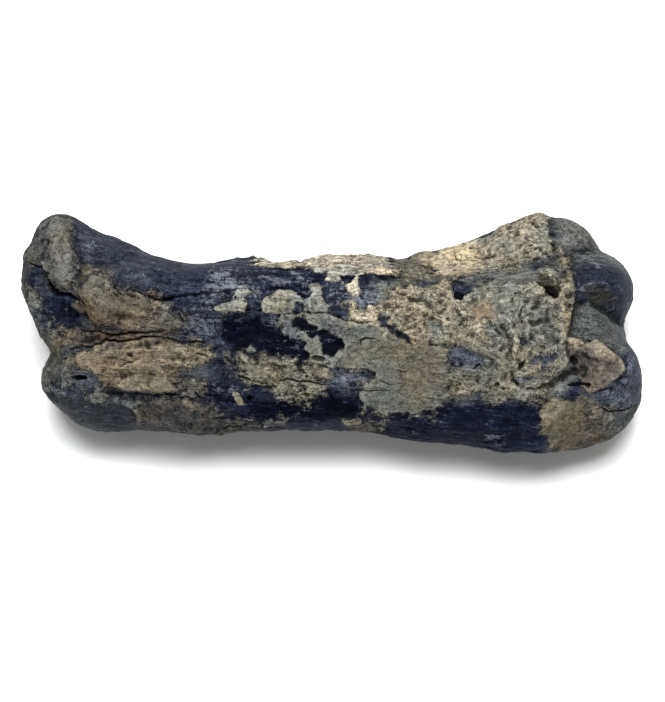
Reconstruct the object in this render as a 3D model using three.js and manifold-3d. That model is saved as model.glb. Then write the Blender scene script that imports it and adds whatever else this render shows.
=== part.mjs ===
// A fossil toe bone of a giant armadillo: one metapodial, worn and mineralised, in one piece.
// It is shaped in the frame of its broad face, in millimetres: x runs along the bone from the
// ankle end to the knuckle end, y across the broad face and z out of it. Then the solid is turned
// about its length to the way it lies, trimmed flat where it touches the table and centred.
import * as THREE from "three";
import { ImprovedNoise } from "three/addons/math/ImprovedNoise.js";
import { mergeVertices } from "three/addons/utils/BufferGeometryUtils.js";
import Module from "manifold-3d";

// How the bone lies
const LEAN_DEG = 22; // the broad face leans this far from level
const REST_TRIM = 0.35; // worn off flat where it touches the table

// The skin's net of points
const AROUND = 54;
const CAP_RINGS = 15;
const SHAFT_RINGS = 46;
const SPINE_START = new THREE.Vector3(-24.5, 1, -2);
const SPINE_END = new THREE.Vector3(22.5, -0.5, -2.5);
const REACH = 24; // farther from the spine than any point of the skin
const STEP = 0.3; // the march inwards to the skin, before it is halved
const HALVINGS = 12;
const RELAX_ROUNDS = 14; // times the net is evened out over the skin
const RELAX_SHARE = 0.5;
const RETURN_MOVES = 3;
const LONGEST_MOVE = 0.4;
const SLOPE_STEP = 0.05;
const WELD = 1e-4;

// Outlines of the shaft at stations along it: where, top, bottom, front, back, squareness
const SHAFT = [
  [-28, 10.4, -7.6, 6.0, -10.6, 2.3],
  [-25, 10.3, -9.2, 6.6, -10.6, 2.4],
  [-22, 9.2, -9.7, 6.9, -10.0, 2.4],
  [-19, 8.2, -9.9, 7.4, -9.0, 2.5],
  [-15, 7.5, -10.3, 7.2, -7.8, 2.6],
  [-10, 7.4, -10.1, 7.0, -6.9, 2.6],
  [-5, 7.3, -10.0, 6.9, -6.6, 2.6],
  [0, 7.6, -9.9, 6.9, -6.6, 2.6],
  [5, 7.4, -10.3, 7.0, -6.9, 2.6],
  [10, 6.7, -10.9, 7.2, -7.4, 2.5],
  [14, 6.4, -11.5, 7.4, -7.9, 2.5],
  [18, 7.0, -12.1, 7.6, -8.6, 2.4],
  [22, 8.0, -12.5, 7.4, -9.4, 2.3],
  [25, 8.4, -12.0, 7.0, -9.8, 2.3],
];
const SHAFT_START = -28;
const SHAFT_END = 24;
const SHAFT_END_BLEND = 3;

// Flats worn on a mass: which way each looks, its distance from the origin, and a blend
const PLATE_FLATS = [
  { look: [-0.94, 0.3, 0.15], off: 32.0, blend: 0.8 }, // upper flat
  { look: [-0.9, -0.42, 0.1], off: 26.9, blend: 0.8 }, // lower flat, worn to the spongy bone
];
const CORNER_FLATS = [{ look: [-0.77, -0.64, 0], off: 26.6, blend: 1.2 }];

// Rounded masses: centre, half sizes, turn in the broad face in degrees, blend
const MASSES = [
  // Ankle end
  { at: [-27.6, 4.6, -2], size: [5.2, 7.4, 9.0], turn: 0, blend: 1.2, flats: PLATE_FLATS }, // joint plate
  { at: [-28.1, 10.1, -1], size: [2.1, 2.4, 6.5], turn: 20, blend: 1 }, // peak of the plate
  { at: [-23.8, 4.1, -4.4], size: [5.6, 5.8, 9.6], turn: 0, blend: 1.4 }, // upper mass
  { at: [-24.4, -5.4, -2], size: [6.4, 4.5, 8.1], turn: 0, blend: 1, flats: CORNER_FLATS }, // lower mass
  { at: [-27.5, 7.2, 5.4], size: [1.5, 3.4, 2.6], turn: 4, blend: 0.45 }, // small knob by the plate
  { at: [-23.6, 3.6, 5.4], size: [3.1, 3.3, 3.2], turn: -25, blend: 0.6 }, // large knob
  // Knuckle end
  { at: [26.5, 4.5, -4.6], size: [5.0, 4.4, 9.8], turn: 0, blend: 0.8 }, // keel
  { at: [25.2, 0.2, -2.8], size: [4.9, 5.0, 8.0], turn: 0, blend: 0.5 }, // floor of the pulley
  { at: [26.2, -5.3, -1.9], size: [5.8, 6.0, 8.0], turn: 0, blend: 0.5 }, // near knuckle
  { at: [23.6, 9.0, -5.2], size: [4.5, 3.7, 5.6], turn: -29, blend: 0.5 }, // far knuckle
  { at: [23.4, -9.2, -2.4], size: [4.6, 3.3, 5.8], turn: 8, blend: 1 }, // flank below the near knuckle
];

// Rounded ridges: points with a radius at each, and a blend
const RIDGES = [
  { path: [[7, 4.6, -3.2, 3.4], [14, 5.7, -3.6, 3.8], [21.4, 7.8, -4.2, 4.7]], blend: 0.8 }, // far flange
  { path: [[-1, 6.9, -1.5, 1.4], [5.5, 6.9, -1.5, 1.4]], blend: 0.9 }, // crust on the far edge
  { path: [[-11, 6.2, -2.6, 1.8], [-7.5, 6.3, -2.6, 1.8]], blend: 0.9 }, // low swelling behind
  { path: [[24.3, -0.9, 4.6, 1.5], [26.4, -1.9, 5.4, 2.1], [28.6, -3.1, 4.6, 1.9]], blend: 0.5 }, // crest
  { path: [[28.6, -3.1, 4.6, 1.9], [27.2, -4.9, 5.1, 1.8]], blend: 0.5 }, // the crest's lower limb
  { path: [[-20, -4.5, 5.6, 1.9], [-13, -3.2, 5.6, 1.5], [-6, -3.6, 5.6, 1.1]], blend: 1.2 }, // lower strand
];

// Worn hollows and grooves, cut in the same two forms
const HOLLOWS = [
  { at: [21.2, 1.2, 9.4], size: [3.6, 5.6, 3.2], turn: 0, blend: 1.4 }, // pit before the knuckle
  { at: [-36.4, 3.4, -3], size: [4.6, 6.2, 7.4], turn: 0, blend: 0.8 }, // dished joint face
  { at: [20.5, -13.8, -2.5], size: [4.4, 2.6, 4.2], turn: 0, blend: 1 }, // ligament pit, near side
  { at: [24.5, 13.6, -6], size: [3.2, 2.2, 3.0], turn: -20, blend: 0.8 }, // ligament pit, far side
  { at: [13, -1, -11.8], size: [9, 6, 4.4], turn: 0, blend: 2 }, // flat of the back
  { at: [-13.5, -0.5, -11.4], size: [8, 5, 4.0], turn: 0, blend: 2 }, // hollow of the back
];
const GROOVES = [
  // Channel from the joint plate down round the large knob
  {
    path: [[-31, 7.4, 7.2, 1.7], [-29.2, 4.6, 6.9, 2.2], [-27.4, 2.2, 6.7, 2.3], [-25.4, 0.4, 7.2, 1.7]],
    blend: 1,
  },
  // Ledge between the knobs and the lower strand
  {
    path: [[-32, -1.8, 7.6, 1.6], [-27, -1.5, 8.0, 1.5], [-22, -0.8, 8.3, 1.3], [-13.5, -0.4, 8.4, 1.1]],
    blend: 0.8,
  },
  // Crease under the crest
  {
    path: [[25, -3.0, 6.4, 1.2], [23.6, -4.4, 6.7, 1.2], [21.4, -5.9, 6.9, 1.0], [19.8, -6.5, 7.2, 0.8]],
    blend: 0.6,
  },
  // Crease between the keel and the floor of the pulley, on round to the back
  { path: [[32.6, 1.3, -1, 1.5], [30.3, 1.8, 2.7, 1.4], [25.6, 3.5, 5.9, 1.2]], blend: 0.7 },
  { path: [[32.2, 1.1, -2, 1.4], [30.2, 0.6, -8.6, 1.4], [25.5, 0, -12.6, 1.6]], blend: 1.2 },
];

// Uneven wear of the whole skin: height and width of each swell
const SWELLS = [
  { height: 0.34, width: 6.5 },
  { height: 0.2, width: 2.6 },
];

// Small holes in the broad face: place, width and length in the face, turn, depth
const HOLES = [
  { at: [-26.2, -4.3], size: [1.5, 0.75], turn: 5, depth: 1.6 }, // blood-vessel hole
  { at: [13.0, 4.2], size: [1.1, 1.2], turn: 0, depth: 1.0 },
  { at: [22.2, 5.0], size: [2.0, 1.5], turn: -40, depth: 1.8 },
  { at: [19.5, -3.3], size: [0.7, 1.3], turn: 30, depth: 1.1 },
  { at: [25.2, -5.1], size: [2.1, 0.7], turn: 0, depth: 0.9 },
  { at: [21.3, -4.0], size: [0.9, 0.8], turn: 0, depth: 0.8 },
  { at: [17.1, 1.1], size: [1.0, 0.8], turn: 20, depth: 0.7 },
  { at: [19.4, 2.9], size: [1.0, 0.8], turn: -15, depth: 0.8 },
];

// Cracks in the broad face: a run of points with the gape at each, and a depth
const CRACKS = [
  { run: [[-20.6, 4.3, 0.15], [-17.8, 3.6, 0.6], [-13.7, 4.2, 0.45], [-8.0, 4.75, 0.15]], depth: 0.9 },
  { run: [[-9.6, -4.1, 0.15], [-6.0, -4.9, 0.4], [-2.2, -4.6, 0.4], [0.8, -5.6, 0.15]], depth: 0.7 },
];
const CUT_CLEARANCE = 2; // how far a cutter stands out of the skin

const COLOUR = 0x77705e;
const ROUGHNESS = 0.72;

const clamp = THREE.MathUtils.clamp;
const radians = THREE.MathUtils.degToRad;

// Union of two fields with a fillet of about the blend's radius
function join(a, b, blend) {
  const share = clamp(0.5 + (0.5 * (b - a)) / blend, 0, 1);
  return b + (a - b) * share - blend * share * (1 - share);
}

const cut = (a, b, blend) => -join(-a, b, blend);

const outline = new THREE.CubicInterpolant(
  SHAFT.map((row) => row[0]),
  SHAFT.flatMap((row) => row.slice(1)),
  SHAFT[0].length - 1,
);

function shaft(p) {
  const [top, bottom, front, back, square] = outline.evaluate(clamp(p.x, SHAFT[0][0], SHAFT.at(-1)[0]));
  const high = (top - bottom) / 2;
  const deep = (front - back) / 2;
  const across = Math.abs(p.y - (top + bottom) / 2) / high;
  const out = Math.abs(p.z - (front + back) / 2) / deep;
  const side = ((across ** square + out ** square) ** (1 / square) - 1) * Math.min(high, deep);
  const ends = Math.max(SHAFT_START - p.x, p.x - SHAFT_END);
  return -join(-side, -ends, SHAFT_END_BLEND);
}

function mass(p, { at, size, turn, flats = [] }) {
  const c = Math.cos(radians(turn));
  const s = Math.sin(radians(turn));
  const [x, y, z] = [p.x - at[0], p.y - at[1], p.z - at[2]];
  const q = [(c * x + s * y) / size[0], (c * y - s * x) / size[1], z / size[2]];
  const near = Math.hypot(...q);
  const slope = Math.hypot(q[0] / size[0], q[1] / size[1], q[2] / size[2]);
  let field = (near * (near - 1)) / Math.max(slope, 1e-6);
  for (const { look, off, blend } of flats) {
    field = cut(field, off - p.x * look[0] - p.y * look[1] - p.z * look[2], blend);
  }
  return field;
}

// Distance to a rounded ridge along a path of [x, y, z, radius] points
function ridge(p, { path }) {
  let least = Infinity;
  for (let i = 1; i < path.length; i++) {
    const [ax, ay, az, ar] = path[i - 1];
    const [bx, by, bz, br] = path[i];
    const [dx, dy, dz] = [bx - ax, by - ay, bz - az];
    const reach = (p.x - ax) * dx + (p.y - ay) * dy + (p.z - az) * dz;
    const t = clamp(reach / (dx * dx + dy * dy + dz * dz), 0, 1);
    const gap = Math.hypot(p.x - ax - t * dx, p.y - ay - t * dy, p.z - az - t * dz);
    least = Math.min(least, gap - ar - t * (br - ar));
  }
  return least;
}

const noise = new ImprovedNoise();

function wear(p) {
  const swell = ({ height, width }) => height * noise.noise(p.x / width, p.y / width, p.z / width);
  return SWELLS.reduce((sum, s) => sum + swell(s), 0);
}

// The bone's field: below zero inside, in the frame of the broad face
function bone(p) {
  let field = shaft(p);
  for (const m of MASSES) field = join(field, mass(p, m), m.blend);
  for (const r of RIDGES) field = join(field, ridge(p, r), r.blend);
  for (const h of HOLLOWS) field = cut(field, mass(p, h), h.blend);
  for (const g of GROOVES) field = cut(field, ridge(p, g), g.blend);
  return field + wear(p);
}

// The outermost point of the skin on a ray
function skinPoint(from, direction) {
  const at = (t) => bone(from.clone().addScaledVector(direction, t));
  let outside = REACH;
  while (outside > STEP && at(outside - STEP) > 0) outside -= STEP;
  let inside = outside - STEP;
  for (let i = 0; i < HALVINGS; i++) {
    const middle = (inside + outside) / 2;
    if (at(middle) > 0) outside = middle;
    else inside = middle;
  }
  return from.clone().addScaledVector(direction, (inside + outside) / 2);
}

// The geometry with only its places left, and the points that share one merged
function welded(geometry) {
  const bare = geometry.clone();
  bare.deleteAttribute("normal");
  bare.deleteAttribute("uv");
  return mergeVertices(bare, WELD);
}

// A sphere's net, drawn out along the spine and laid on the skin
function drawnNet() {
  const rings = 2 * CAP_RINGS + SHAFT_RINGS;
  const net = new THREE.SphereGeometry(1, AROUND, rings);
  const { position, uv } = net.attributes;
  for (let i = 0; i < position.count; i++) {
    const ring = Math.round((1 - uv.getY(i)) * rings);
    const angle = uv.getX(i) * 2 * Math.PI;
    const along = clamp((ring - CAP_RINGS) / SHAFT_RINGS, 0, 1);
    const beforeStart = Math.min(0, ring - CAP_RINGS);
    const pastEnd = Math.max(0, ring - CAP_RINGS - SHAFT_RINGS);
    const tilt = (((beforeStart + pastEnd) / CAP_RINGS) * Math.PI) / 2;
    const direction = new THREE.Vector3(
      Math.sin(tilt),
      Math.cos(tilt) * Math.cos(angle),
      -Math.cos(tilt) * Math.sin(angle),
    );
    const from = SPINE_START.clone().lerp(SPINE_END, along);
    position.setXYZ(i, ...skinPoint(from, direction));
  }
  return welded(net);
}

function slopeAt(p) {
  const along = (axis) => {
    const step = new THREE.Vector3().setComponent(axis, SLOPE_STEP);
    return (bone(p.clone().add(step)) - bone(p.clone().sub(step))) / (2 * SLOPE_STEP);
  };
  return new THREE.Vector3(along(0), along(1), along(2));
}

// A point near the skin put back on it, by short moves down the field's slope
function backOnSkin(p) {
  for (let i = 0; i < RETURN_MOVES; i++) {
    const slope = slopeAt(p);
    const steepness = Math.max(slope.length(), SLOPE_STEP);
    const move = clamp(bone(p) / steepness, -LONGEST_MOVE, LONGEST_MOVE);
    p.addScaledVector(slope, -move / steepness);
  }
  return p;
}

// The net evened out: each point slides along the skin towards the middle of its neighbours
function skin() {
  const net = drawnNet();
  const { position } = net.attributes;
  const neighbours = Array.from({ length: position.count }, () => new Set());
  const corners = net.index.array;
  for (let i = 0; i < corners.length; i++) {
    neighbours[corners[i]].add(corners[i % 3 === 2 ? i - 2 : i + 1]);
    neighbours[corners[i]].add(corners[i % 3 === 0 ? i + 2 : i - 1]);
  }
  let points = neighbours.map((_, i) => new THREE.Vector3().fromBufferAttribute(position, i));
  for (let round = 0; round < RELAX_ROUNDS; round++) {
    points = points.map((p, i) => {
      const middle = new THREE.Vector3();
      neighbours[i].forEach((j) => middle.addScaledVector(points[j], 1 / neighbours[i].size));
      const slide = middle.sub(p).projectOnPlane(slopeAt(p).normalize());
      return backOnSkin(p.clone().addScaledVector(slide, RELAX_SHARE));
    });
  }
  points.forEach((p, i) => position.setXYZ(i, p.x, p.y, p.z));
  return net;
}

const wasm = await Module();
wasm.setup();

function solidOf(geometry) {
  const merged = welded(geometry);
  const faces = Array.from(merged.index.array);
  const triVerts = [];
  for (let i = 0; i < faces.length; i += 3) {
    const [a, b, c] = faces.slice(i, i + 3);
    if (a !== b && b !== c && c !== a) triVerts.push(a, b, c);
  }
  return new wasm.Manifold(
    new wasm.Mesh({
      numProp: 3,
      vertProperties: merged.attributes.position.array,
      triVerts: new Uint32Array(triVerts),
    }),
  );
}

// The broad face's height at a place on it
const faceHeight = (x, y) => skinPoint(new THREE.Vector3(x, y, 0), new THREE.Vector3(0, 0, 1)).z;

function holeCutter({ at, size, turn, depth }) {
  const ball = new THREE.IcosahedronGeometry(1, 1);
  ball.scale(size[0] / 2, size[1] / 2, depth);
  ball.rotateZ(radians(turn));
  return ball.translate(at[0], at[1], faceHeight(...at));
}

// A sliver whose two lips follow the crack's run, with its floor at the crack's depth
function crackCutter({ run, depth }) {
  const upper = run.map(([x, y, gape]) => new THREE.Vector2(x, y + gape / 2));
  const lower = run.map(([x, y, gape]) => new THREE.Vector2(x, y - gape / 2));
  const shape = new THREE.Shape([...lower, ...upper.reverse()]);
  const floor = Math.min(...run.map(([x, y]) => faceHeight(x, y))) - depth;
  const tall = Math.max(...run.map(([x, y]) => faceHeight(x, y))) + CUT_CLEARANCE - floor;
  const sliver = new THREE.ExtrudeGeometry(shape, { depth: tall, bevelEnabled: false, steps: 1 });
  return sliver.translate(0, 0, floor);
}

function boneSolid() {
  let solid = solidOf(skin());
  for (const cutter of [...HOLES.map(holeCutter), ...CRACKS.map(crackCutter)]) {
    solid = solid.subtract(solidOf(cutter));
  }
  solid = solid.rotate([LEAN_DEG, 0, 0]);
  const { min, max } = solid.boundingBox();
  const table = new THREE.BoxGeometry(4 * REACH, 4 * REACH, REACH);
  table.translate(0, 0, min[2] + REST_TRIM - REACH / 2);
  solid = solid.subtract(solidOf(table));
  return solid.translate([-(min[0] + max[0]) / 2, -(min[1] + max[1]) / 2, -min[2] - REST_TRIM]);
}

function geometryOf(solid) {
  const mesh = solid.getMesh();
  const geometry = new THREE.BufferGeometry();
  geometry.setAttribute("position", new THREE.BufferAttribute(mesh.vertProperties, 3));
  geometry.setIndex(new THREE.BufferAttribute(mesh.triVerts, 1));
  geometry.computeVertexNormals();
  return geometry;
}

const toeBone = new THREE.Mesh(
  geometryOf(boneSolid()),
  new THREE.MeshStandardMaterial({ color: COLOUR, roughness: ROUGHNESS, metalness: 0, flatShading: true }),
);
toeBone.name = "toe_bone";

const specimen = new THREE.Group();
specimen.add(toeBone);
export default specimen;
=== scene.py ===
import math

import bmesh
import bpy
import numpy as np
from mathutils import Matrix, Vector, noise


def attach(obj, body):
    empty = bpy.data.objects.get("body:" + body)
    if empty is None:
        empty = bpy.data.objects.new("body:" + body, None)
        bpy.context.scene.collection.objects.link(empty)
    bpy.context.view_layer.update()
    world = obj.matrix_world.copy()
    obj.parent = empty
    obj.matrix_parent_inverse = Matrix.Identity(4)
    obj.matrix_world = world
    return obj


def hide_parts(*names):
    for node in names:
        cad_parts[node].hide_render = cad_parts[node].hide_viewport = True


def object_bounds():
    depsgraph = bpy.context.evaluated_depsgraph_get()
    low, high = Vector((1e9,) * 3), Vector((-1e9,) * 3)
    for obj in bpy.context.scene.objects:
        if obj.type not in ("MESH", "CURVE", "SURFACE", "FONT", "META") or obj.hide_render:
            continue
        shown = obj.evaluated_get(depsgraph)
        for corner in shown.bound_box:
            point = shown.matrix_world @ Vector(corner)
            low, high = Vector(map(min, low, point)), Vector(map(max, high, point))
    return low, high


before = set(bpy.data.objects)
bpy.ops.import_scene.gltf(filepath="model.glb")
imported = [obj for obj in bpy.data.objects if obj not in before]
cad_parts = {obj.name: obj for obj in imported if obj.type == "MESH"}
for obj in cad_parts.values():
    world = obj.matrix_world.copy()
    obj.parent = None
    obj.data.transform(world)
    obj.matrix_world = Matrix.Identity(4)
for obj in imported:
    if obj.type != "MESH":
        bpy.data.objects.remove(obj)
cad_box = [list(corner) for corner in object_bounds()]

# The photograph, the camera that took it and how the bone's broad face lies. Sizes are in mm.
PHOTO_WIDE = 665
PHOTO_HIGH = 702
LENS = 150.0
SENSOR = 36.0
FACE_LEAN = math.radians(22)
FACE_MIDDLE = np.array([0.128, -1.200, 11.297])
CAMERA_DISTANCE = 301.2
CAMERA_ACROSS = -0.05
CAMERA_DOWN = -1.65
PIXELS_PER_SLOPE = LENS / SENSOR * PHOTO_HIGH
PIXEL = CAMERA_DISTANCE / PIXELS_PER_SLOPE

ACROSS = np.array([1.0, 0.0, 0.0])
UP = np.array([0.0, math.cos(FACE_LEAN), math.sin(FACE_LEAN)])
OUT = np.array([0.0, -math.sin(FACE_LEAN), math.cos(FACE_LEAN)])
EYE = FACE_MIDDLE + OUT * CAMERA_DISTANCE + UP * CAMERA_DOWN + ACROSS * CAMERA_ACROSS

# The mesh, in mm: its first edge, the rounds of evening, and how far from a crack it is finest
MM = 0.001
VOXEL = 0.42
SMOOTHING = 5
SEEN_SMOOTHING = 3
CRACK_REACH = 0.28

# How far a surface may lean past edge-on, or has to lean towards the camera, to be made finer
EDGE_ON = 0.05

# How many photo pixels round a mark it is measured, a value past any mark's, and the turn of the
# bone's grain seen from above
REACH = 25.0
FAR = 50.0
GRAIN_TURN = math.radians(-3)

# How the surface faces the camera, evened over some rounds, where the photo's marks begin and are whole,
# and the same for the bone's ends, in mm from its middle
FACING_ROUNDS = 40
SEEN_STEP = (-0.35, -0.05)
END_STEP = (16, 27)

# Crust and patches: the most sure that crust gets, how far noise shifts a patch's edge as a share of its
# softness, what is added to that softness where one kind meets the next, in mm, and the tint
MOST_SURE = 4.0
PATCH_RAG = 0.6
KIND_FADE = 0.45
WARM_TINT = [0.14, 0.02, -0.14]

# Pale mineral: how strongly it shows outside its outlines, and how softly those end, in mm
PALE_SHARE = 0.35
PALE_SOFTNESS = 0.3

# Recesses, painted shade in them and painted highlights on raised edges: rounds of evening and gain at
# each scale, how dark a pore's painted shade is, and the depth in mm from which a pit is fully shaded
RECESS_SCALES = ((2, 4.0), (10, 2.8), (60, 1.1))
PORE_SHADE = 0.4
DARK_PIT = 0.6

# Numbers that give each pore's cell a width of its own
CELL_WEIGHTS = np.array([12.99, 78.23, 37.72])

# The finish: gloss, and the height in mm of its finest relief
GLOSS = 0.02
BUMP = 0.55

# The studio, in metres and watts
FLOOR_HALF = 1.5
FLOOR_WHITE = (0.95, 0.95, 0.95, 1.0)
SKY_STRENGTH = 0.38
PANEL_PLACE = (-0.01, 0.02, 0.81)
PANEL_SIZE = 0.32
PANEL_POWER = 10.0
NEAREST_SEEN = 0.01
FARTHEST_SEEN = 10.0

# Colours of bare bone, as they look under the studio's light, which brightens a matt
# surface by the light gain
LIGHT_GAIN = 1.85
COLOURS = {
    "black": "#070b1b",
    "navy": "#1b2133",
    "slate": "#333846",
    "dusk": "#525762",
    "mottled grey": "#83867f",
    "ash bone": "#4b4f54",
    "green grey": "#5e6160",
    "stone grey": "#6a6b68",
    "brown": "#48443c",
    "umber grey": "#5c5850",
    "deep navy": "#181e30",
    "deep slate": "#2b303c",
    "facet grey": "#34383f",
    "plum": "#3a343c",
    "blue white": "#b4bac2",
}

# Kinds of crust: colour, how gritty it is from 0 to 1, and its thickness in mm
KINDS = {
    "lump grey": ("#696967", 0.6, 0.05),
    "lump light": ("#656561", 0.6, 0.05),
    "ochre": ("#6d6352", 0.6, 0.05),
    "dull tan": ("#686257", 0.5, 0.05),
    "brown grey": ("#676158", 0.6, 0.03),
    # Rust brown, darker as painted shade
    "shaded rust": ("#463630", 0.8, 0.0),
    "dim grey": ("#4a4846", 0.7, 0.03),
    "strand tan": ("#7f7663", 0.5, 0.05),
    "ash": ("#5c605f", 0.7, 0.0),
    "top cream": ("#c4bcaa", 0.7, 0.14),
    "pale cream": ("#cfc1a4", 0.6, 0.12),
    "porous tan": ("#9f9988", 0.9, 0.05),
    "speckled": ("#928c7b", 1.0, 0.12),
    "pale grey": ("#91938d", 0.6, 0.12),
    "plateau": ("#7c7e77", 0.35, 0.12),
    "olive": ("#75766e", 0.35, 0.12),
    "blue ash": ("#63676e", 0.8, 0.06),
    "warm": ("#7b7161", 0.35, 0.1),
    "network": ("#78766c", 0.9, 0.06),
    "light network": ("#86847a", 0.9, 0.06),
    "fibre grey": ("#85877e", 0.7, 0.0),
    "umber": ("#857964", 0.5, 0.0),
    "band tan": ("#877e68", 0.7, 0.08),
    "wedge": ("#69635d", 0.5, 0.2),
    # Tan crust, lighter as a painted highlight along the wedge's top edge
    "lit wedge rim": ("#958b78", 0.5, 0.2),
    "flank": ("#7a7360", 0.4, 0.0),
    "flank grey": ("#68655b", 0.4, 0.0),
}

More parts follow.
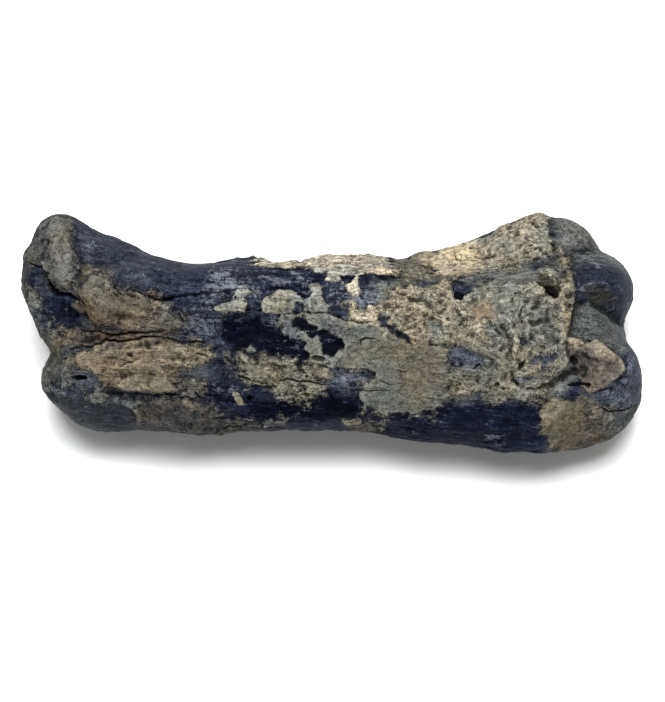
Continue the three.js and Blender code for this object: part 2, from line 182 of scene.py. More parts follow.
# Crust: kind, how far it is sure inside its edge and how softly it ends, both in mm, and its outline
# in photo pixels
CRUST = [
    # Ankle end
    ("lump grey", 1.2, 0.7, [
        (43, 221), (54, 214), (65, 214), (71, 220), (72, 228), (65, 233), (67, 243), (75, 254), (79, 265),
        (76, 277), (72, 285), (63, 291), (55, 287), (49, 277), (47, 265), (46, 254), (40, 250),
        (39, 236)]),
    ("lump light", 0.9, 0.9, [
        (46, 226), (58, 216), (70, 220), (68, 238), (58, 258), (50, 252), (42, 238)]),
    ("brown grey", 0.8, 1.0, [
        (106, 276), (122, 284), (144, 297), (172, 306), (184, 316), (178, 330), (170, 338), (144, 338),
        (122, 330), (112, 300)]),
    ("dull tan", 1.4, 0.7, [
        (85, 269), (98, 267), (108, 272), (113, 281), (112, 289), (121, 297), (138, 304), (146, 312),
        (140, 322), (126, 328), (110, 327), (98, 326), (89, 322), (82, 316), (78, 310), (75, 301),
        (78, 289), (81, 280)]),
    ("ochre", 0.8, 0.9, [(78, 298), (88, 292), (98, 306), (96, 322), (86, 318), (78, 310)]),
    ("ochre", 0.5, 0.8, [
        (46, 338), (60, 331), (78, 326), (92, 324), (96, 332), (80, 340), (62, 350), (46, 355)]),
    # Rust brown crust, darker as painted shade in the hollow above the ledge groove
    ("shaded rust", 0.8, 0.7, [
        (78, 336), (96, 330), (120, 336), (150, 338), (172, 335), (150, 343), (120, 343), (96, 345),
        (78, 348)]),
    ("strand tan", 1.3, 0.6, [
        (58, 354), (82, 350), (99, 347), (120, 344), (144, 341), (165, 338), (180, 341), (195, 342),
        (210, 344), (213, 355), (206, 364), (192, 368), (180, 371), (176, 382), (182, 392), (165, 395),
        (150, 396), (132, 393), (120, 391), (105, 389), (98, 380), (104, 372), (88, 370), (75, 371),
        (64, 364)]),
    ("brown grey", 0.5, 0.8, [
        (176, 372), (190, 378), (203, 384), (206, 396), (196, 399), (182, 394), (166, 390)]),
    ("ash", 0.6, 1.0, [
        (38, 366), (47, 355), (64, 354), (66, 366), (72, 373), (70, 383), (84, 391), (130, 396),
        (126, 400), (100, 398), (75, 395), (60, 387), (50, 384), (41, 379)]),
    ("dim grey", 0.35, 1.0, [
        (136, 400), (159, 398), (182, 400), (200, 400), (214, 412), (212, 426), (196, 430), (180, 426),
        (165, 429), (146, 424), (134, 414)]),
    # Pale ash crust on the facet's rim ridge, partly a painted edge highlight
    ("ash", 0.4, 0.4, [
        (46, 380), (62, 391), (84, 395), (110, 396), (134, 402), (137, 408), (110, 402), (84, 401),
        (60, 399), (47, 389)]),
    ("strand tan", 0.7, 0.5, [
        (183, 396), (195, 399), (208, 407), (213, 416), (204, 422), (192, 414), (182, 405)]),
    ("ash", 0.3, 1.0, [
        (22, 284), (34, 292), (44, 312), (58, 336), (48, 352), (42, 350), (34, 326), (24, 304)]),
    ("ash", 0.3, 1.0, [(24, 254), (34, 232), (40, 240), (40, 256), (32, 264)]),
    # Along the far edge
    ("top cream", 1.2, 0.15, [
        (249, 266), (263, 262), (290, 262), (311, 258), (323, 254), (350, 248), (374, 246), (385, 252),
        (396, 257), (386, 262), (398, 266), (390, 270), (402, 272), (397, 276), (383, 276), (365, 273),
        (359, 277), (358, 285), (362, 291), (359, 297), (350, 294), (344, 288), (339, 282), (327, 280),
        (327, 272), (314, 271), (311, 268), (290, 268), (272, 268), (257, 268)]),
    ("network", 0.8, 0.5, [
        (392, 258), (410, 252), (430, 246), (436, 256), (430, 268), (440, 278), (425, 281), (404, 278),
        (398, 270), (390, 267)]),
    ("porous tan", 1.0, 0.5, [
        (466, 244), (499, 226), (517, 219), (540, 209), (554, 209), (549, 223), (550, 236), (555, 248),
        (562, 253), (540, 259), (523, 267), (504, 272), (480, 277), (470, 262)]),
    ("pale cream", 1.2, 0.35, [
        (424, 262), (432, 252), (445, 246), (458, 242), (472, 246), (484, 257), (484, 270), (472, 276),
        (458, 277), (445, 277), (432, 272)]),
    # Middle of the broad face
    ("pale grey", 1.2, 0.15, [
        (218, 306), (224, 300), (235, 297), (244, 300), (247, 306), (244, 311), (233, 314), (221, 312),
        (213, 310)]),
    ("pale grey", 1.2, 0.2, [(236, 292), (240, 287), (249, 288), (259, 291), (251, 295), (239, 296)]),
    ("pale grey", 1.2, 0.15, [
        (262, 304), (265, 297), (278, 294), (293, 292), (302, 294), (309, 300), (305, 308), (296, 307),
        (290, 312), (284, 315), (272, 315), (263, 313)]),
    ("pale grey", 1.2, 0.15, [
        (307, 299), (318, 295), (324, 300), (330, 307), (329, 313), (317, 313), (305, 311), (302, 308),
        (308, 304), (312, 303)]),
    ("pale grey", 1.2, 0.2, [(312, 284), (318, 281), (322, 288), (320, 297), (313, 297), (311, 289)]),
    ("plateau", 1.2, 0.15, [
        (281, 318), (290, 315), (305, 313), (329, 313), (339, 319), (380, 322), (400, 336), (416, 346),
        (440, 343), (450, 360), (446, 396), (436, 410), (419, 412), (405, 412), (383, 411), (363, 405),
        (359, 393), (369, 384), (371, 373), (362, 369), (344, 367), (329, 365), (314, 365), (308, 361),
        (306, 351), (305, 343), (296, 337), (284, 330)]),
    ("olive", 0.8, 1.6, [
        (346, 334), (372, 332), (396, 338), (424, 344), (446, 356), (448, 392), (436, 410), (383, 411),
        (363, 404), (362, 392), (372, 372), (350, 360)]),
    ("blue ash", 0.5, 0.4, [
        (279, 314), (290, 313), (291, 322), (293, 330), (300, 334), (296, 339), (284, 332)]),
    ("blue ash", 0.5, 1.0, [(322, 322), (342, 326), (347, 342), (336, 342), (324, 334)]),
    ("speckled", 0.6, 0.4, [
        (345, 320), (345, 307), (354, 304), (362, 310), (374, 306), (386, 294), (401, 288), (417, 285),
        (440, 284), (470, 285), (500, 283), (502, 340), (470, 347), (440, 346), (414, 348), (396, 336),
        (380, 326), (360, 323)]),
    ("pale cream", 0.6, 0.4, [
        (346, 310), (354, 305), (362, 311), (374, 313), (380, 322), (366, 321), (347, 319)]),
    ("warm", 0.8, 1.2, [
        (402, 352), (420, 347), (445, 346), (449, 356), (446, 372), (447, 390), (425, 394), (404, 390),
        (398, 378), (400, 364)]),
    ("network", 0.7, 0.5, [
        (440, 344), (470, 344), (500, 342), (522, 350), (532, 372), (514, 384), (510, 399), (490, 402),
        (478, 396), (465, 396), (450, 398), (430, 402), (444, 388), (447, 370)]),
    ("light network", 0.4, 0.6, [
        (496, 284), (520, 281), (535, 275), (548, 268), (561, 257), (568, 262), (571, 275), (575, 290),
        (572, 305), (567, 320), (565, 340), (568, 352), (574, 362), (562, 378), (547, 392), (536, 402),
        (510, 400), (508, 385), (530, 372), (516, 348), (500, 345)]),
    ("fibre grey", 0.9, 0.8, [
        (468, 286), (500, 284), (528, 290), (532, 300), (526, 312), (500, 314), (474, 304)]),
    ("umber", 0.9, 0.5, [(468, 308), (476, 304), (490, 305), (496, 313), (488, 320), (474, 319)]),
    ("band tan", 0.6, 0.6, [
        (562, 276), (565, 271), (569, 270), (572, 276), (576, 288), (574, 300), (569, 312), (568, 338),
        (572, 348), (567, 350), (564, 330), (563, 306), (558, 294), (560, 282)]),
    ("network", 0.6, 0.8, [
        (228, 358), (234, 354), (255, 356), (279, 358), (296, 363), (322, 367), (329, 375), (324, 384),
        (327, 394), (305, 400), (290, 398), (267, 392), (252, 384), (236, 375)]),
    ("plateau", 1.2, 0.15, [(243, 348), (249, 340), (254, 345), (257, 351), (252, 353), (245, 351)]),
    ("plateau", 1.2, 0.15, [(233, 394), (239, 396), (244, 403), (240, 406), (234, 400)]),
    ("ash", 0.7, 0.3, [(264, 427), (270, 419), (280, 415), (288, 422), (284, 427)]),
    ("network", 0.4, 0.4, [(344, 421), (365, 422), (384, 424), (384, 430), (358, 430), (346, 427)]),
    ("dim grey", 0.35, 0.7, [
        (196, 396), (222, 412), (246, 424), (262, 430), (238, 436), (206, 434), (194, 420)]),
    # Knuckle end
    ("flank", 0.8, 0.4, [
        (540, 402), (564, 396), (588, 404), (587, 420), (584, 438), (574, 449), (556, 447), (546, 438),
        (543, 420)]),
    ("flank grey", 0.8, 0.4, [
        (546, 426), (566, 430), (586, 422), (584, 438), (574, 449), (556, 447), (546, 438)]),
    ("brown grey", 0.3, 1.3, [
        (583, 404), (604, 413), (620, 415), (618, 428), (600, 440), (580, 446), (584, 420)]),
    ("ash", 0.3, 0.9, [(618, 412), (636, 408), (638, 424), (622, 434), (612, 430)]),
    ("wedge", 1.2, 0.12, [
        (566, 339), (582, 342), (602, 347), (615, 357), (623, 366), (620, 374), (605, 389), (592, 391),
        (580, 386), (577, 370), (571, 359)]),
    # Tan crust, lighter as a painted highlight along the wedge's top edge
    ("lit wedge rim", 0.6, 0.2, [
        (565, 338), (582, 339), (603, 344), (618, 355), (626, 366), (622, 375), (614, 380), (618, 366),
        (608, 356), (594, 351), (578, 347)]),
]

# Bare spots inside the crust: how softly they end in mm, then the outline in photo pixels
BARE = [
    (0.25, [
        (290, 320), (296, 316), (304, 316), (309, 320), (314, 327), (311, 331), (300, 332), (292, 328)]),
    (0.12, [(305, 333), (316, 331), (325, 330), (320, 334), (308, 337)]),
    (0.25, [
        (318, 336), (326, 334), (334, 337), (342, 341), (342, 352), (334, 357), (323, 355), (321, 344)]),
    (0.25, [
        (378, 312), (393, 317), (392, 324), (401, 330), (411, 336), (409, 344), (395, 334), (383, 329),
        (378, 321)]),
    (0.15, [
        (359, 282), (366, 275), (389, 275), (413, 280), (436, 281), (436, 285), (410, 285), (384, 286),
        (363, 287)]),
    (0.45, [(446, 347), (463, 345), (478, 349), (484, 360), (478, 368), (460, 369), (449, 362)]),
    (0.45, [(530, 355), (545, 352), (556, 354), (556, 366), (540, 371), (529, 367)]),
    (0.3, [(518, 336), (524, 333), (529, 340), (529, 349), (520, 349)]),
    (0.3, [(449, 284), (462, 281), (475, 284), (468, 294), (462, 299), (454, 297)]),
    (0.25, [(474, 391), (481, 390), (481, 401), (475, 402)]),
    (0.5, [(512, 377), (540, 374), (552, 378), (538, 384), (516, 388)]),
    (0.15, [(341, 276), (352, 275), (352, 283), (344, 283)]),
    (0.15, [(294, 305), (300, 301), (303, 307), (296, 309)]),
    (0.4, [(88, 374), (104, 376), (100, 383), (90, 383)]),
    (0.4, [(536, 278), (546, 273), (560, 280), (561, 292), (556, 298), (545, 295), (540, 286)]),
    (0.4, [(526, 268), (534, 264), (538, 267), (530, 271)]),
    (0.4, [(546, 262), (556, 257), (560, 262), (550, 268)]),
    (0.35, [(470, 281), (484, 277), (486, 281), (474, 284)]),
    (0.5, [(408, 298), (418, 300), (414, 308), (406, 306)]),
    (0.5, [(486, 322), (500, 326), (504, 336), (494, 340), (484, 332)]),
    (0.5, [(424, 322), (438, 320), (442, 328), (430, 332)]),
    (0.6, [(585, 403), (593, 405), (598, 416), (595, 428), (588, 426), (584, 414)]),
]

# Bare bone: colour, how softly it ends in mm, then its outline in photo pixels
BONE = [
    ("ash bone", 1.2, [
        (40, 215), (76, 225), (78, 262), (88, 276), (108, 284), (124, 294), (176, 314), (182, 335),
        (210, 345), (212, 370), (200, 400), (212, 430), (140, 428), (130, 398), (60, 388), (40, 370),
        (50, 345), (80, 325), (76, 300), (50, 280), (38, 250)]),
    ("mottled grey", 1.0, [
        (345, 300), (390, 284), (440, 282), (500, 276), (560, 256), (574, 300), (570, 350), (578, 372),
        (560, 394), (500, 400), (448, 398), (440, 346), (400, 340), (345, 322)]),
    ("slate", 1.5, [
        (70, 218), (130, 238), (215, 262), (215, 300), (160, 298), (120, 294), (112, 270), (84, 262)]),
    ("dusk", 1.0, [(84, 232), (100, 240), (104, 258), (96, 264), (86, 258)]),
    ("dusk", 1.4, [(122, 264), (138, 270), (146, 280), (135, 286), (122, 278)]),
    # The bone's navy, deepened as painted shade in the channel beside the ankle end's rim
    ("navy", 0.8, [
        (33, 258), (48, 252), (50, 278), (60, 292), (76, 300), (80, 318), (72, 330), (58, 326),
        (46, 300)]),
    ("facet grey", 0.8, [(33, 254), (50, 250), (50, 276), (57, 292), (44, 298), (36, 280)]),
    ("slate", 1.0, [
        (188, 298), (262, 292), (262, 318), (230, 322), (222, 340), (196, 342), (176, 326), (170, 306)]),
    ("dusk", 0.8, [(330, 284), (374, 286), (378, 310), (350, 312), (330, 306)]),
    ("slate", 0.5, [(196, 340), (224, 338), (230, 352), (222, 366), (206, 370)]),
    ("black", 0.2, [
        (222, 321), (233, 316), (249, 318), (266, 316), (279, 318), (284, 327), (293, 337), (300, 342),
        (310, 346), (310, 362), (296, 362), (279, 357), (264, 360), (255, 355), (242, 354), (230, 352),
        (228, 345), (216, 336), (222, 330)]),
    ("black", 0.5, [(290, 312), (344, 312), (346, 358), (316, 358), (296, 334)]),
    ("navy", 0.7, [
        (200, 384), (236, 388), (262, 396), (300, 402), (330, 396), (330, 368), (374, 370), (374, 392),
        (420, 414), (545, 402), (543, 434), (536, 456), (474, 452), (420, 445), (330, 432), (270, 430),
        (206, 424)]),
    ("black", 0.6, [
        (240, 400), (278, 402), (330, 392), (356, 402), (366, 414), (330, 424), (290, 424), (250, 414)]),
    ("deep navy", 0.6, [
        (432, 414), (452, 408), (516, 404), (537, 414), (540, 434), (520, 446), (470, 440), (440, 430)]),
    ("slate", 0.6, [(270, 424), (370, 420), (372, 433), (270, 434)]),
    ("dusk", 1.0, [(328, 366), (350, 368), (370, 376), (366, 392), (340, 390), (328, 380)]),
    ("slate", 0.4, [(326, 290), (344, 288), (346, 318), (330, 310)]),
    ("dusk", 0.5, [(440, 342), (482, 342), (484, 368), (444, 368)]),
    ("dusk", 0.6, [(512, 330), (560, 350), (556, 372), (510, 390)]),
    ("slate", 0.4, [(446, 284), (476, 282), (470, 294), (464, 302), (454, 300)]),
    ("slate", 0.4, [(474, 390), (482, 390), (482, 402), (474, 402)]),
    ("slate", 0.5, [(372, 310), (412, 334), (410, 346), (376, 324)]),
    ("brown", 0.5, [(532, 276), (546, 271), (562, 278), (564, 292), (556, 300), (540, 297), (534, 288)]),
    ("facet grey", 0.6, [(46, 392), (60, 396), (100, 400), (138, 406), (138, 432), (90, 436), (50, 414)]),
    ("navy", 0.5, [(130, 396), (180, 388), (200, 396), (180, 400), (150, 402)]),
    # Knuckle end
    ("ash bone", 0.6, [(538, 212), (550, 208), (562, 214), (560, 252), (548, 250), (546, 226)]),
    ("umber grey", 1.0, [(545, 398), (592, 400), (622, 414), (606, 442), (560, 450), (547, 436)]),
    ("stone grey", 0.5, [
        (552, 214), (558, 208), (570, 208), (592, 226), (612, 246), (596, 250), (562, 250)]),
    ("green grey", 1.0, [
        (562, 250), (596, 246), (620, 256), (636, 274), (620, 268), (590, 264), (570, 268)]),
    ("deep slate", 1.0, [
        (566, 268), (600, 264), (636, 280), (634, 306), (606, 312), (588, 302), (572, 294)]),
    ("brown", 1.0, [(586, 290), (606, 291), (612, 300), (596, 304)]),
    ("green grey", 0.6, [
        (566, 305), (590, 303), (612, 317), (626, 331), (628, 350), (618, 357), (602, 348), (566, 342)]),
    ("plum", 0.5, [
        (566, 344), (574, 352), (580, 366), (570, 376), (560, 383), (548, 392), (536, 400), (530, 396),
        (548, 384), (562, 374), (570, 366), (564, 352)]),
    ("dusk", 1.2, [
        (626, 300), (640, 306), (648, 380), (640, 420), (610, 444), (604, 420), (630, 396), (626, 350)]),
    ("dusk", 1.2, [(588, 388), (616, 376), (634, 378), (630, 400), (606, 406), (586, 400)]),
]

# Speckled pale mineral, and one painted sheen: how strongly it shows, then the outline in photo pixels
PALE = [
    (0.45, [(198, 302), (210, 270), (236, 264), (262, 288), (262, 300), (214, 304), (206, 320)]),
    (0.6, [(286, 268), (306, 271), (316, 290), (314, 300), (306, 300)]),
    (0.6, [(328, 284), (374, 286), (380, 308), (352, 310), (330, 306)]),
    (0.6, [(316, 316), (345, 322), (348, 342), (330, 336)]),
    (0.6, [(268, 318), (286, 318), (300, 336), (296, 350), (286, 338)]),
    (0.45, [(326, 368), (362, 370), (370, 384), (330, 384)]),
    (0.35, [(250, 270), (286, 274), (284, 290), (262, 288)]),
    (0.35, [(180, 300), (222, 318), (220, 338), (196, 340), (178, 330)]),
    (0.45, [(206, 384), (236, 382), (240, 400), (214, 404)]),
    (0.6, [(212, 272), (222, 267), (236, 269), (234, 279), (228, 290), (220, 288), (217, 278)]),
    (0.95, [(402, 271), (410, 268), (417, 272), (414, 277), (404, 276)]),
    (0.6, [(270, 283), (290, 281), (292, 285), (272, 286)]),
    (0.6, [(262, 270), (274, 268), (276, 273), (264, 274)]),
    (0.6, [(300, 396), (314, 394), (312, 404), (300, 404)]),
    (0.5, [(94, 236), (98, 238), (98, 250), (93, 248)]),
    # A painted sheen, in the pale colour, on the top of the knuckle end's keel
    (0.4, [(566, 253), (590, 250), (606, 257), (596, 265), (572, 262)]),
    (0.4, [(616, 396), (630, 392), (634, 404), (620, 408)]),
    (0.35, [(480, 436), (500, 434), (502, 444), (484, 446)]),
]

# Spongy bone, open in pores
SPONGY = [
    [(18, 280), (34, 290), (58, 330), (56, 352), (44, 356), (36, 330), (20, 300)],
    [(516, 222), (536, 214), (552, 216), (550, 240), (548, 256), (524, 262), (518, 240)],
    [(500, 286), (520, 298), (560, 290), (568, 340), (556, 352), (530, 350), (508, 340)],
]

# Smooth joint faces and polished bone
SMOOTH = [
    [(60, 398), (120, 398), (138, 404), (136, 428), (90, 432), (58, 414), (50, 400)],
    [(140, 252), (230, 264), (320, 272), (320, 284), (200, 290), (150, 284), (112, 262)],
    [(549, 225), (556, 214), (572, 213), (592, 230), (608, 249), (590, 250), (562, 250)],
    [(566, 252), (620, 250), (640, 280), (626, 322), (596, 308), (574, 300)],
    [(566, 306), (592, 306), (622, 326), (626, 344), (604, 346), (568, 338)],
]

# Bone and crust split into lengthwise fibres
FIBROUS = [
    [(249, 256), (323, 250), (402, 246), (402, 280), (249, 272)],
    [(70, 346), (210, 340), (214, 370), (204, 398), (100, 392), (70, 372)],
    [(100, 318), (176, 316), (176, 344), (104, 342)],
    [(176, 300), (262, 300), (262, 322), (222, 330), (214, 346), (180, 346)],
    [(204, 360), (330, 362), (330, 400), (420, 400), (545, 400), (540, 456), (420, 446), (206, 434)],
    [(470, 282), (545, 276), (545, 292), (470, 300)],
    [(428, 350), (512, 374), (512, 398), (430, 400)],
]

# Cracks: depth and width in mm, then the run in photo pixels
CRACKS = [
    (0.65, 0.17, [(150, 296), (157, 299), (166, 298), (177, 296)]),
    (0.5, 0.1, [
        (128, 288), (135, 291), (150, 296), (157, 299), (177, 296), (195, 294), (214, 292), (230, 290),
        (250, 289)]),
    (0.3, 0.06, [(204, 318), (223, 318), (230, 316), (246, 313)]),
    (0.28, 0.06, [(282, 315), (302, 312), (329, 313), (341, 319)]),
    (0.2, 0.05, [(345, 320), (359, 322), (374, 322)]),
    (0.35, 0.07, [(237, 376), (250, 380), (266, 384)]),
    (0.4, 0.08, [(278, 380), (293, 380), (309, 382), (329, 386)]),
    (0.2, 0.05, [(330, 388), (350, 390), (369, 390), (392, 391)]),
    (0.22, 0.05, [(378, 380), (392, 385)]),
    (0.4, 0.08, [(215, 433), (228, 427), (241, 426), (247, 423)]),
    (0.35, 0.08, [(28, 262), (35, 266), (41, 267), (42, 270)]),
    (0.6, 0.2, [(47, 278), (52, 289), (58, 295), (69, 296), (79, 301)]),
    (0.5, 0.13, [
        (69, 350), (82, 345), (94, 345), (105, 340), (120, 341), (129, 341), (144, 338), (162, 337)]),
    (0.4, 0.1, [(80, 330), (99, 332), (112, 336), (128, 334), (146, 334), (168, 331)]),
    (0.4, 0.08, [(162, 337), (180, 341), (205, 342)]),
    (0.35, 0.08, [(120, 367), (126, 363), (134, 362)]),
    (0.45, 0.13, [(130, 396), (136, 396), (142, 395)]),
    (0.45, 0.12, [(154, 398), (165, 396), (181, 395)]),
    (0.3, 0.1, [(195, 392), (200, 398)]),
    (0.35, 0.09, [(196, 352), (208, 356)]),
    (0.3, 0.07, [(425, 282), (447, 283), (466, 283)]),
    (0.3, 0.09, [(472, 369), (481, 364)]),
    (0.3, 0.08, [(526, 304), (522, 309), (521, 317), (524, 324)]),
    (0.35, 0.08, [(600, 407), (607, 411), (622, 411), (635, 405)]),
    (0.35, 0.1, [(361, 346), (361, 341), (366, 338), (376, 339)]),
    (0.2, 0.06, [(454, 251), (456, 262), (478, 262)]),
    (0.2, 0.06, [(333, 268), (340, 269)]),
    (0.25, 0.06, [(400, 372), (408, 371)]),
    (0.45, 0.16, [(568, 384), (578, 383), (590, 386)]),
]

# Pits: depth in mm, then centre, half width, half height and turn in photo pixels
PITS = [
    (1.3, (79, 377.5), 7.0, 2.6, 0),
    (0.55, (130, 355), 3.0, 2.0, -20),
    (0.5, (459, 295), 4.6, 4.4, 0),
    (0.7, (552, 291), 8.5, 4.2, -35),
    (0.45, (541, 283), 6.0, 2.6, -40),
    (0.7, (522, 365), 5.5, 2.4, 50),
    (0.4, (499, 332), 5.2, 2.2, -35),
    (0.5, (497, 384), 2.4, 2.2, 0),
    (0.35, (574, 361), 3.4, 5.0, 40),
    (0.5, (588, 385), 3.6, 2.0, 0),
    (0.35, (524, 342), 4.0, 5.5, 0),
    (0.4, (535, 226), 4.2, 2.4, -30),
    (0.25, (517, 233), 2.6, 2.2, 0),
    (0.3, (307, 377), 2.0, 1.5, 0),
    (0.3, (307, 395), 3.4, 2.4, 0),
    (0.45, (249, 398), 3.2, 2.4, -20),
    (0.5, (318, 358.5), 7.5, 3.2, -4),
    (0.2, (298.5, 337), 1.8, 1.3, 0),
    (0.3, (64, 359), 2.2, 1.6, 0),
    (0.3, (121, 293), 2.6, 1.6, -30),
]

# Knobs, dents and steps: height in mm, then centre, half width, half height and turn in photo pixels
RELIEF = [
    (0.45, (567, 289), 8.0, 6.6, -30),
    (0.3, (573, 301), 4.8, 3.8, 0),
    (0.45, (61, 250), 14, 36, 10),
    (0.35, (64, 276), 13, 16, 15),
    (0.35, (97, 289), 21, 23, 0),
    (0.28, (456, 363), 3.8, 3.6, 0),
    (0.22, (464, 391), 10, 7, 0),
    (-0.3, (120, 337), 62, 6, 4),
    (0.3, (130, 358), 72, 15, 2),
    (-0.3, (130, 397), 62, 6, -3),
    (-0.28, (528, 316), 24, 28, 0),
    (0.3, (563, 322), 6, 28, 0),
    (0.3, (596, 352), 26, 8, -20),
    (-0.35, (582, 372), 9, 9, 0),
    (0.18, (455, 262), 28, 16, 0),
    (-0.2, (536, 380), 24, 12, 20),
    (0.2, (562, 418), 24, 22, 20),
    (-0.35, (96, 414), 42, 15, -4),
]

# Ridges and, below zero, furrows: height and half width in mm, then the run in photo pixels
FOLDS = [
    (-0.3, 0.8, [(66, 226), (76, 236), (83, 250), (84, 266), (78, 282), (72, 292)]),
    (-0.2, 0.6, [(45, 230), (44, 245), (48, 262), (50, 280)]),
    (-0.25, 0.5, [(112, 282), (122, 292), (140, 298)]),
    (0.25, 0.7, [(96, 300), (120, 308), (150, 316), (172, 322)]),
    (-0.25, 0.5, [(88, 326), (110, 333), (140, 332), (170, 330)]),
    (0.2, 0.6, [(92, 353), (130, 349), (170, 348), (208, 351)]),
    (-0.1, 0.4, [(84, 361), (120, 357), (160, 357), (200, 360)]),
    (0.18, 0.6, [(104, 368), (150, 364), (190, 364)]),
    (-0.1, 0.4, [(108, 377), (140, 373), (180, 375)]),
    (0.2, 0.6, [(112, 385), (150, 386), (184, 390)]),
    (0.4, 0.5, [
        (46, 380), (62, 393), (80, 397), (100, 396), (122, 399), (134, 406), (140, 418), (136, 430)]),
    (0.25, 0.4, [(436, 283), (470, 280), (500, 273), (533, 263), (560, 251)]),
    (-0.25, 0.35, [(511, 366), (513, 380), (522, 388), (535, 390), (548, 387), (559, 378)]),
    (0.2, 0.45, [(517, 370), (520, 380), (531, 385), (546, 381)]),
    (0.22, 0.4, [(506, 316), (513, 330), (517, 345), (511, 362)]),
    (-0.22, 0.35, [(498, 320), (507, 334), (511, 350), (505, 364)]),
    (0.2, 0.4, [(478, 366), (484, 378), (482, 392)]),
    (-0.18, 0.35, [(438, 292), (452, 304), (462, 318), (458, 332)]),
    (0.2, 0.4, [(384, 296), (400, 304), (420, 308), (440, 316), (452, 330)]),
    (-0.2, 0.35, [(396, 292), (412, 300), (430, 302)]),
    (0.2, 0.35, [(374, 312), (392, 316), (402, 328), (412, 338)]),
    (-0.15, 0.6, [(566, 252), (585, 249), (600, 249), (612, 252)]),
    (-0.25, 0.6, [(566, 303), (590, 304), (610, 314), (625, 330)]),
    (0.3, 0.45, [(562, 258), (570, 275), (573, 290), (571, 305), (567, 322), (567, 338)]),
    (0.3, 0.4, [(566, 339), (582, 342), (602, 347), (616, 357), (624, 367)]),
    (-0.3, 0.5, [(626, 374), (612, 388), (596, 394)]),
    (-0.28, 0.8, [(566, 344), (573, 356), (577, 366), (568, 373), (560, 379), (548, 388), (536, 396)]),
]


def smooth_step(low, high, values):
    """From 0 below low to 1 above high, with a soft start and end."""
    share = np.clip((values - low) / (high - low), 0.0, 1.0)
    return share * share * (3.0 - 2.0 * share)


def on_photo(points):
    """The photo pixel at which the camera sees each point, in mm."""
    ray = points - EYE
    depth = -(ray @ OUT)
    across = PHOTO_WIDE / 2 + PIXELS_PER_SLOPE * (ray @ ACROSS) / depth
    down = PHOTO_HIGH / 2 - PIXELS_PER_SLOPE * (ray @ UP) / depth
    return np.stack([across, down], axis=1)


def close_to(spots, corners, margin):
    """Which photo pixels lie in the box round some corners, grown by a margin."""
    return np.all((spots > corners.min(axis=0) - margin) & (spots < corners.max(axis=0) + margin), axis=1)


def to_segments(spots, starts, ends):
    """Distance from each photo pixel to the nearest of some segments, and the share of the way along."""
    nearest = np.full(len(spots), np.inf)
    way = np.zeros(len(spots))
    for i, (start, end) in enumerate(zip(starts, ends)):
        side = end - start
        share = np.clip((spots - start) @ side / (side @ side), 0.0, 1.0)
        gap = np.linalg.norm(spots - start - share[:, None] * side, axis=1)
        way = np.where(gap < nearest, (i + share) / len(starts), way)
        nearest = np.minimum(nearest, gap)
    return nearest, way


def within(spots, outline):
    """Distance in mm from each photo pixel to an outline, above zero inside it."""
    corners = np.array(outline, float)
    close = close_to(spots, corners, REACH)
    found = np.full(len(spots), -REACH * PIXEL)
    near = spots[close]
    is_inside = np.zeros(len(near), bool)
    ends = np.roll(corners, -1, axis=0)
    for start, end in zip(corners, ends):
        rise = end[1] - start[1]
        if rise:
            straddles = (start[1] > near[:, 1]) != (end[1] > near[:, 1])
            crossing = start[0] + (end[0] - start[0]) * (near[:, 1] - start[1]) / rise
            is_inside ^= straddles & (near[:, 0] < crossing)
    nearest = to_segments(near, corners, ends)[0]
    found[close] = np.where(is_inside, nearest, -nearest) * PIXEL
    return found


def within_any(spots, outlines):
    """The same for the union of several outlines."""
    return np.max([within(spots, outline) for outline in outlines], axis=0)


def from_run(spots, run):
    """Distance in mm from each photo pixel to a run of points, and the share of the way along it."""
    points = np.array(run, float)
    close = close_to(spots, points, REACH)
    distance = np.full(len(spots), REACH)
    way = np.zeros(len(spots))
    distance[close], way[close] = to_segments(spots[close], points[:-1], points[1:])
    return distance * PIXEL, way


def in_ellipse(spots, centre, half_wide, half_high, turn):
    """Share of the way out from an ellipse's centre to its rim. The turn is anticlockwise, in degrees."""
    angle = math.radians(turn)
    x = spots[:, 0] - centre[0]
    y = centre[1] - spots[:, 1]
    along = (x * math.cos(angle) + y * math.sin(angle)) / half_wide
    over = (y * math.cos(angle) - x * math.sin(angle)) / half_high
    return np.hypot(along, over)


def with_grain(points, size, stretch):
    """Places measured in sizes, drawn out along the bone's grain by the stretch."""
    turn = np.array(Matrix.Rotation(-GRAIN_TURN, 3, "Z"))
    return points @ turn.T / size / np.array([stretch, 1.0, 1.0])


def noise_at(points, size, seed, stretch=1.0):
    """Soft noise from about -1 to 1, with bumps of a size in mm."""
    return np.array([noise.noise(Vector(place)) for place in with_grain(points, size, stretch) + seed])


def crevices(points, size, seed, width, stretch=1.0):
    """1 along winding lines, where a noise crosses zero, and 0 away from them."""
    return 1.0 - smooth_step(0.0, width, np.abs(noise_at(points, size, seed, stretch)))


def pores(points, size, seed, share, stretch=1.0):
    """1 in round pores of mixed widths in a share of the cells, and 0 away from them."""
    found = [noise.voronoi(Vector(place)) for place in with_grain(points, size, stretch) + seed]
    distance = np.array([cell[0][0] for cell in found])
    middle = np.array([cell[1][0][:] for cell in found])
    number = np.modf(np.abs(middle @ CELL_WEIGHTS))[0]
    radius = 0.12 + 0.3 * np.modf(number * 7.0)[0]
    return (1.0 - smooth_step(0.5, 1.3, distance / radius)) * (number < share)


def linear(code):
    """The base colour, in linear values, that looks like a colour code under the studio's light."""
    parts = np.array([int(code[i:i + 2], 16) for i in (1, 3, 5)]) / 255
    return np.where(parts <= 0.04045, parts / 12.92, ((parts + 0.055) / 1.055) ** 2.4) / LIGHT_GAIN


def kind_values(kind):
    """A crust kind's linear colour, grit and thickness in one row."""
    code, grit, thickness = KINDS[kind]
    return np.array([*linear(code), grit, thickness])


